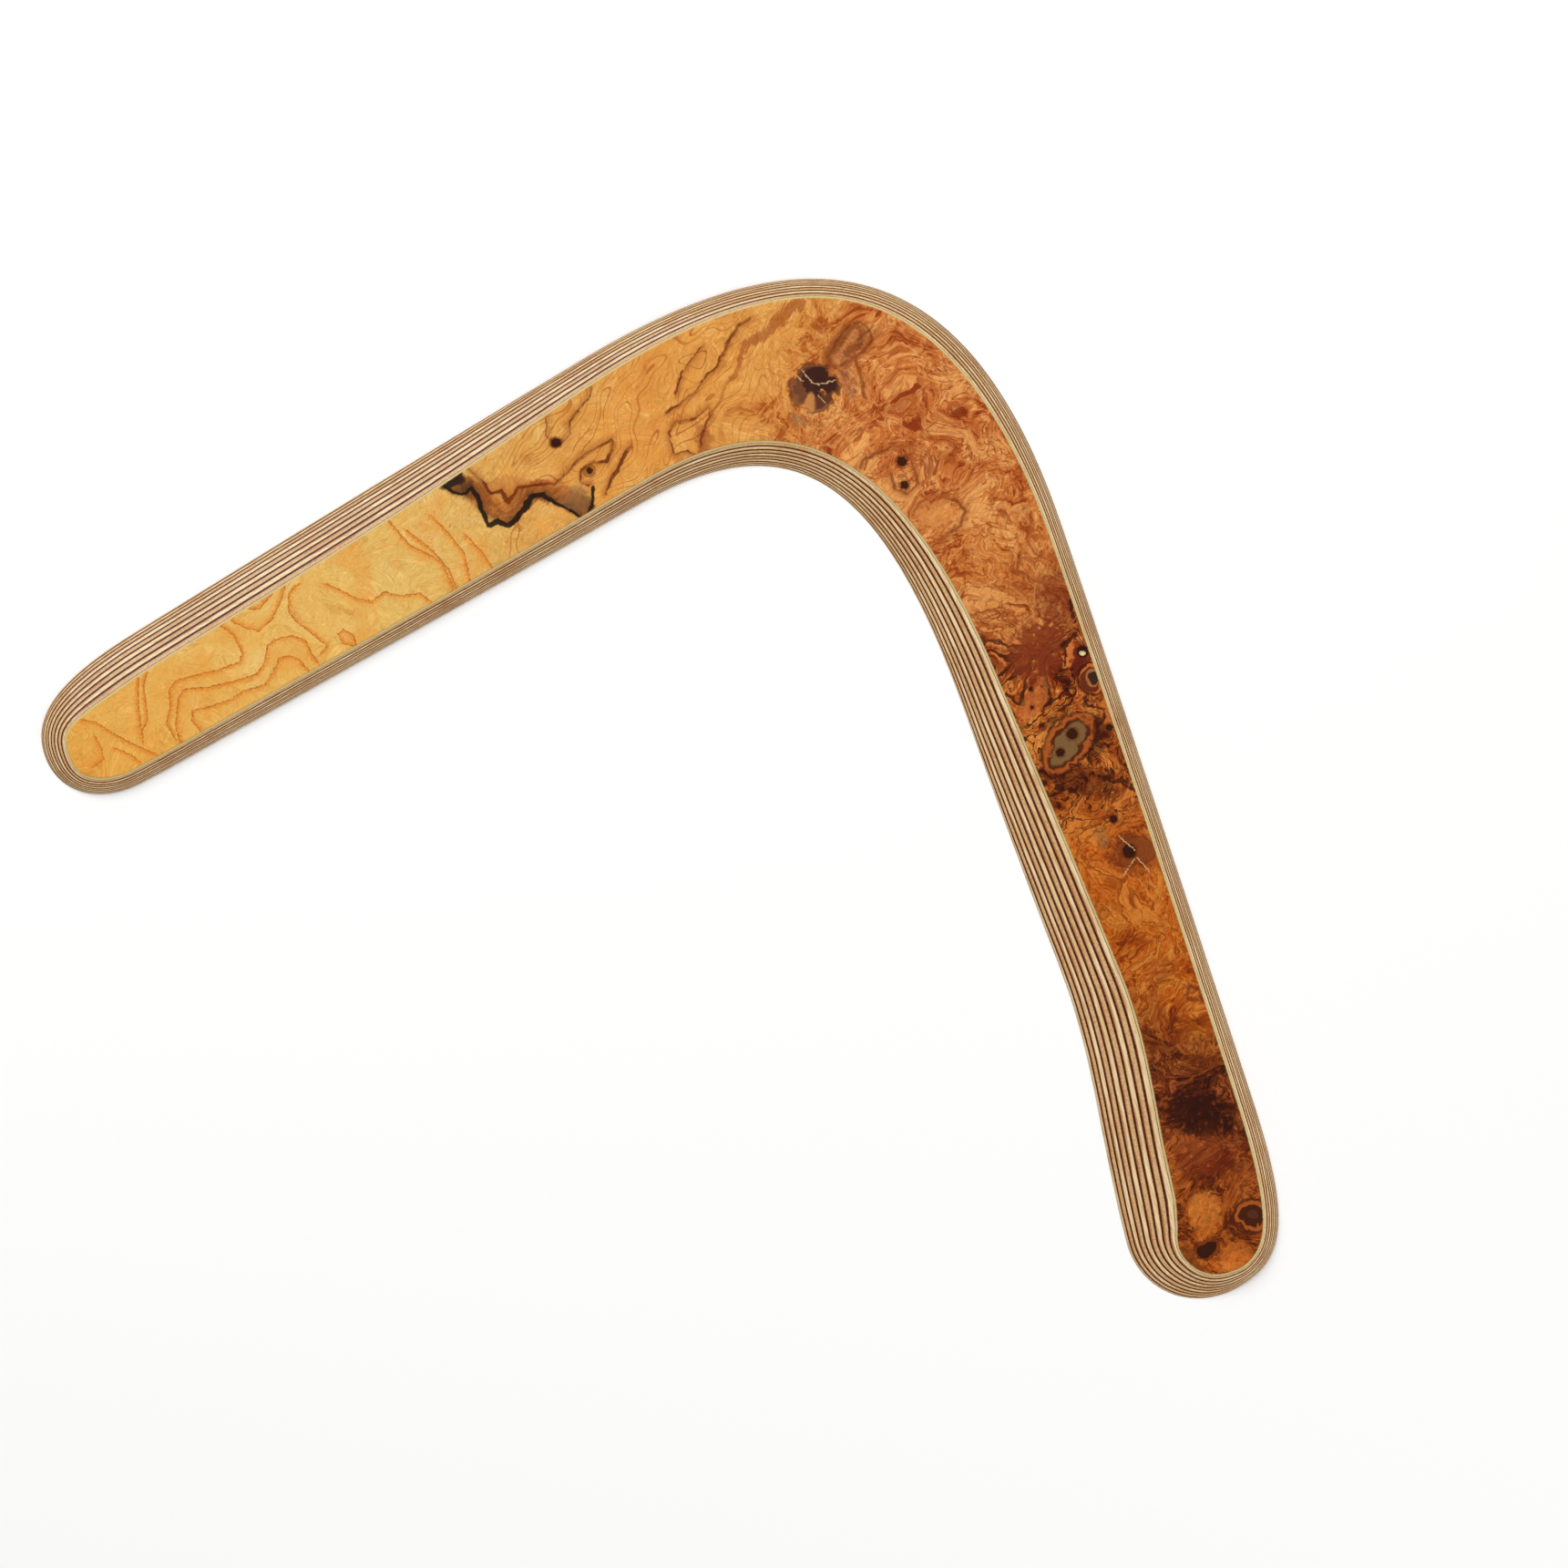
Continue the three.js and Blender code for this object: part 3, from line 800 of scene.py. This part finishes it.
# Where on the bend: 0 at the end of the free wing, 1 at the end of the grip wing.
arm = bench.vector("SUBTRACT", bench.drift(place, 0.03, 30, 3), BEND_CENTRE)
split = bench.add("ShaderNodeSeparateXYZ", {"Vector": arm}).outputs
angle = bench.math("ARCTAN2", split["Y"], split["X"])
FIRST, LAST = math.radians(ZONES[0][0]), math.radians(ZONES[-1][0])
along = bench.math("DIVIDE", bench.math("SUBTRACT", angle, FIRST), LAST - FIRST)
positions = [(math.radians(zone[0]) - FIRST) / (LAST - FIRST) for zone in ZONES]
light, mid, dark = (
    bench.ramp(along, [(p, tone(*zone[shade])) for p, zone in zip(positions, ZONES)])
    for shade in (1, 2, 3)
)
wild = bench.between(along, 0.42, 0.56)

# Grown figure: the contours of a swirling height, lifted at each knot, are the growth lines,
# and flames, wisps and patches along them share out the dark, middle and light wood.
swirled = bench.drift(bench.drift(place, 0.02, 60, 2), 0.07, 16, 3)
torn = bench.drift(swirled, 0.2, 5, 3)
growth = bench.noise(torn, 0.03, 1)
for centre, reach, lift, squeeze, turn in KNOTS:
    near = bench.vector("SUBTRACT", loose, (*centre, 0))
    near = bench.turned(near, turn, (1, 1 / squeeze, 1))
    far = bench.math("DIVIDE", bench.vector("LENGTH", near, output="Value"), reach)
    rise = bench.math("EXPONENT", bench.math("MULTIPLY", bench.math("MULTIPLY", far, far), -1))
    growth = bench.math("ADD", growth, bench.math("MULTIPLY", rise, lift))
flow = bench.noise(bench.vector("ADD", torn, (80, 40, 0)), 0.035, 2)
stream = bench.add("ShaderNodeCombineXYZ", {
    "X": bench.math("MULTIPLY", growth, 46), "Y": bench.math("MULTIPLY", flow, 15),
}).outputs[0]
flame = bench.noise(stream, 1, 4, 0.62)
wisp = bench.noise(bench.vector("MULTIPLY", stream, (4, 1.6, 1)), 1, 3, 0.6)
broad = bench.lines(bench.math("MULTIPLY", growth, 15), 2)
patch = bench.noise(torn, 0.062, 3, 0.62)
figure = bench.math("MULTIPLY", broad, 0.14)
figure = bench.math("ADD", figure, bench.math("MULTIPLY", patch, 0.42))
figure = bench.math("ADD", figure, bench.math("MULTIPLY", flame, 0.28))
figure = bench.math("ADD", figure, bench.math("MULTIPLY", wisp, 0.16))
contrast = bench.between(wild, 0, 1, CALM_CONTRAST, WILD_CONTRAST)
figure = bench.math("MULTIPLY", bench.math("SUBTRACT", figure, FIGURE_MIDDLE), contrast)
figure = bench.math("ADD", figure, 0.5)
colour = bench.blend(bench.between(figure, 0, 0.5), dark, mid)
colour = bench.blend(bench.between(figure, 0.5, 1), colour, light)

# Short brush-like strokes of darker and lighter wood, and small red flecks, lie over it.
swept = bench.turned(bench.drift(place, 0.03, 80, 2), 20, (0.28, 1, 1))
strokes = bench.noise(swept, 0.26, 3, 0.62)
for start, end, most, wood in ((0.55, 0.7, 0.42, dark), (0.46, 0.32, 0.6, light)):
    stroke = bench.between(strokes, start, end)
    stroke = bench.math("MULTIPLY", stroke, bench.between(wild, 0, 1, 0.08, most))
    colour = bench.blend(stroke, colour, wood)
flecks = bench.between(bench.noise(torn, 0.3, 2, 0.5), 0.62, 0.68)
colour = bench.blend(
    bench.math("MULTIPLY", flecks, bench.between(wild, 0, 1, 0, 0.5)), colour, dark,
)

# Thin dark red lines run round the patches.
round_patch = bench.math("ABSOLUTE", bench.math("SUBTRACT", patch, 0.565))
outline = bench.between(round_patch, 0.004, 0.02, 0.65, 0)
colour = bench.blend(bench.math("MULTIPLY", outline, wild), colour, dark)

# Fibres rise about 57 degrees across the calmer wood, in fine hairs and long wavy lines.
tame = bench.math("SUBTRACT", 1, wild)
diagonal = bench.math("MULTIPLY", bench.between(along, 0.27, 0.36), tame)
combed = bench.turned(bench.drift(place, 0.05, 14, 2), 57, (0.06, 1, 1))
fibres = bench.noise(combed, 0.9, 3, 0.6)
hairs = bench.between(fibres, 0.56, 0.72)
colour = bench.blend(
    bench.math("MULTIPLY", hairs, bench.between(diagonal, 0, 1, 0.14, 0.5)), colour, FIBRE_DARK,
)
slope = bench.noise(bench.turned(bench.drift(place, 0.025, 34, 2), 57, (0.2, 1, 1)), 0.05, 1)
wavy = bench.lines(bench.math("MULTIPLY", slope, 62), 1)
wavy = bench.between(wavy, 0.6, 0.7)
colour = bench.blend(
    bench.math("MULTIPLY", wavy, bench.between(diagonal, 0, 1, 0.14, 0.68)), colour, STREAK_BROWN,
)
fine = bench.noise(bench.turned(bench.drift(place, 0.04, 12, 2), 62, (0.16, 1, 1)), 1.6, 2)
colour = bench.blend(bench.between(fine, 0.3, 0.65, 0.22, 0), colour, dark)
cloud = bench.noise(bench.drift(place, 0.05, 20, 2), 0.075, 2)
colour = bench.blend(
    bench.math("MULTIPLY", bench.between(cloud, 0.5, 0.68, 0, 0.5), tame), colour, HONEY_CLOUD,
)

# Dark contour lines run close together wherever the burl is wild.
inked = bench.lines(bench.math("MULTIPLY", growth, 30), 2, 0.5)
storm = bench.math("MULTIPLY", bench.between(along, 0.66, 0.72), bench.between(along, 0.86, 0.8))
deep = bench.between(inked, 0.57, 0.65)
deep = bench.math("MULTIPLY", deep, bench.between(storm, 0, 1, 0.35, 0.9))
colour = bench.blend(bench.math("MULTIPLY", deep, wild), colour, bench.blend(storm, dark, HEART))

for centre, size, turn, shade, strength in PATCHES:
    inside = oval(ragged_place, centre, size, turn, PATCH_EDGE)
    colour = bench.blend(bench.math("MULTIPLY", inside, strength), colour, tone(*shade))

# Growth lines of the free wing: a crisp orange edge with feathered ticks and a soft glow.
nearest, side = nearest_line(HONEY_LINES, shaky)
right = bench.between(side, 0.2, -0.2)
feather = bench.noise(place, 1.4, 3, 0.7)
glow = bench.math("MULTIPLY", bench.between(nearest, 0, 3.8, 0.6, 0), right)
colour = bench.blend(
    bench.math("MULTIPLY", glow, bench.between(feather, 0.2, 0.8, 0.5, 1)), colour, HONEY_GLOW,
)
tick = bench.math("MULTIPLY", bench.between(feather, 0.35, 0.65, 0.1, 1.5), right)
ticks = bench.between(bench.math("SUBTRACT", nearest, tick), 0, 0.4, 0.75, 0)
colour = bench.blend(ticks, colour, HONEY_TICK)
crisp = bench.between(nearest, 0.08, 0.36, 0.85, 0)
crisp = bench.math("MULTIPLY", crisp, bench.between(feather, 0.3, 0.6, 0.4, 1))
colour = bench.blend(crisp, colour, HONEY_EDGE)

# The brown streak by the big knot widens towards the outer rim. A dark arm leaves the knot.
streak, _ = nearest_line([BROWN_STREAK], shaky)
height = bench.add("ShaderNodeSeparateXYZ", {"Vector": place}).outputs["Y"]
width = bench.between(height, 150, 182, 0.3, 2.6)
width = bench.math("MULTIPLY", width, bench.between(fibres, 0.3, 0.7, 0.4, 1.4))
mask = bench.between(bench.math("SUBTRACT", streak, width), -0.5, 0.9, 0.75, 0)
colour = bench.blend(mask, colour, STREAK_BROWN)
arm_far, _ = nearest_line([KNOT_ARM], shaky)
arm_edge = bench.math("SUBTRACT", arm_far, bench.between(flame, 0.3, 0.7, 0, 2))
colour = bench.blend(bench.between(arm_edge, 0, 1.4, 0.62, 0), colour, LINE_BROWN)

# Rust-brown wood lies along the ink, and thin brown lines and dark contours run elsewhere.
ink, _ = nearest_line(INK_LINES, winding)
rusty = bench.math("ADD", ink, bench.between(flame, 0.3, 0.7, -1.6, 1.6))
rust_wood = bench.blend(bench.between(rusty, 3, 6.5), RUST, RUST_LIGHT)
rust_wood = bench.blend(bench.between(rusty, 0, 3), RUST_DARK, rust_wood)
rust_wood = bench.blend(bench.between(fibres, 0.4, 0.7, 0, 0.5), rust_wood, RUST_DARK)
rust, _ = nearest_line([RUST_WAY], ragged_place)
colour = bench.blend(bench.between(rust, 2.9, 5.2, 0.88, 0), colour, rust_wood)
brown, brown_side = nearest_line(BROWN_LINES, winding)
shade = bench.between(brown, 0, 3.4, 0.6, 0)
shade = bench.math("MULTIPLY", shade, bench.between(brown_side, -0.2, 0.2, 0.25, 1))
colour = bench.blend(shade, colour, STREAK_BROWN)
thin = bench.math("SUBTRACT", brown, bench.between(flow, 0.4, 0.6, 0.05, 0.5))
faint = bench.between(patch, 0.38, 0.58, 0.35, 0.9)
faint = bench.math("MULTIPLY", faint, bench.between(wild, 0, 1, 1, 0.65))
colour = bench.blend(
    bench.math("MULTIPLY", bench.between(thin, 0, 0.45, 1, 0), faint), colour, LINE_BROWN,
)
contour, _ = nearest_line(DARK_LINES, loose)
contour = bench.math("SUBTRACT", contour, bench.between(flame, 0.35, 0.65, 0.1, 1))
colour = bench.blend(bench.between(contour, 0, 0.6, 0.9, 0), colour, CONTOUR)

# Nested rings make the knots and pockets, then come the small eyes, the ink and the cracks.
wavering = bench.drift(place, 0.15, 4, 3)
for centre, size, turn, shade, strength, edge in RINGS:
    inside = oval(wavering, centre, size, turn, edge)
    colour = bench.blend(bench.math("MULTIPLY", inside, strength), colour, tone(*shade))

for centre, heart, ring in EYES:
    core = oval(shaky, centre, (heart, heart), 0, HEART_EDGE)
    rim = oval(shaky, centre, (ring, ring), 0, EYE_EDGE)
    colour = bench.blend(bench.math("MULTIPLY", rim, 0.55), colour, LINE_BROWN)
    colour = bench.blend(bench.math("MULTIPLY", core, 0.94), colour, HEART)

inky = bench.math("SUBTRACT", ink, bench.between(flow, 0.35, 0.65, 0.25, 1))
colour = bench.blend(bench.between(inky, 0, 0.5, 0.97, 0), colour, INK)
crack, _ = nearest_line(CRACKS, shaky)
colour = bench.blend(bench.between(crack, 0.1, 0.35, 0.8, 0), colour, CRACK_CREAM)

# A last fine grain goes over every patch and line.
grain = bench.between(wisp, 0.25, 0.75, 0.85, 1.17)
colour = bench.blend(1.0, colour, grain, "MULTIPLY")

# Painted shade darkens a ring round the lost pin knot and its walls, and the sanded rim thins out
# to a cream band.
pin = oval(place, PIN_HOLE, PIN_SHADE_REACH, 0, HEART_EDGE)
colour = bench.blend(bench.math("MULTIPLY", pin, 0.95), colour, HEART)
rise = bench.add("ShaderNodeAttribute", attribute_name="rise").outputs["Fac"]
uneven = bench.math("MULTIPLY", bench.math("SUBTRACT", feather, 0.5), 0.7)
sanded = bench.math("ADD", rise, uneven)
band = bench.blend(bench.between(sanded, 0.1, 0.5), BAND_CREAM, BAND_OLIVE)
colour = bench.blend(bench.between(sanded, 0.35, 0.85), band, colour)
colour = bench.vector("MAXIMUM", bench.vector("SUBTRACT", colour, LACQUER_HAZE), (0, 0, 0))

bench.feed(shader.inputs["Base Color"], colour)
bench.feed(shader.inputs["Roughness"], bench.between(feather, 0.2, 0.8, 0.34, 0.5))
bench.feed(shader.inputs["Normal"], bench.bump(fibres, 0.12, 0.0001))

low_rim, low_hole, high_rim, high_hole = (faired(ring) for ring in outlines("burl_veneer"))
top_level = high_rim[0].z
top_rim = drawn_in(high_rim, FACE_EASE, top_level)
for point in high_rim:
    point.z -= FACE_EASE
set_in_place(
    "burl_face", layer_mesh([[low_rim, high_rim, top_rim], [low_hole, high_hole]]),
    burl, "burl_veneer",
)
